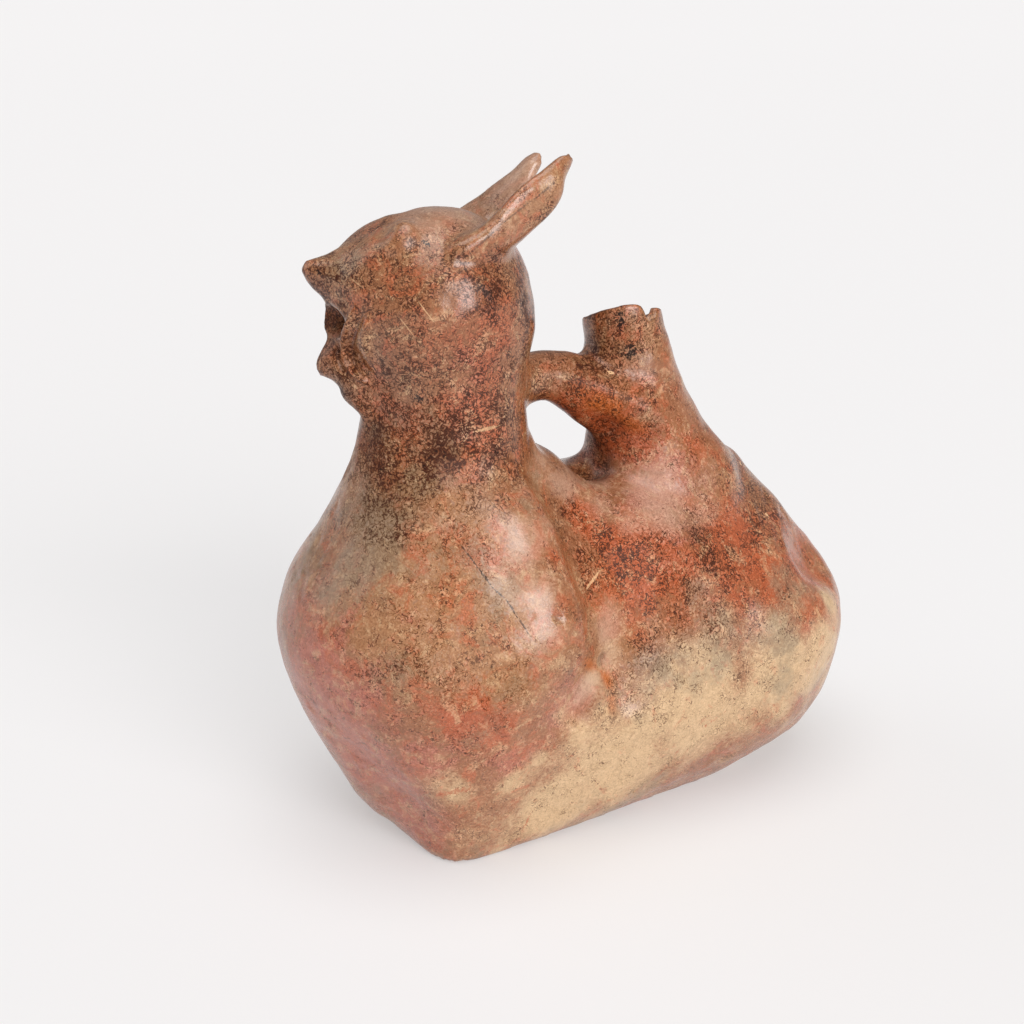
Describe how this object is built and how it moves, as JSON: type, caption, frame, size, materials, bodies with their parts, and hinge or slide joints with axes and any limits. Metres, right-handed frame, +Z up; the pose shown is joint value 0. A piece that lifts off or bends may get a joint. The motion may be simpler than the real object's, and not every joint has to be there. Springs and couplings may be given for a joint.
{
  "type": "whistling vessel",
  "caption": "Hollow whistling vessel of burnished red clay: joined chambers on a flat base, an owl-like head with ear tufts, and a handle from the neck to a tubular spout.",
  "frame": {"origin": "middle of the vessel's footprint, on the level of its flat base", "axes": "+Z up; the vessel's length lies along Y, with the head over -Y and the spout over +Y; +X is to the left of the head as it looks out"},
  "size_m": [0.1244, 0.2426, 0.2532],
  "materials": {
    "burnished_red_clay": "burnished, satin gloss, with dark and cream flecks"
  },
  "bodies": {
    "root": {"vessel": "burnished_red_clay"}
  },
  "joints": []
}
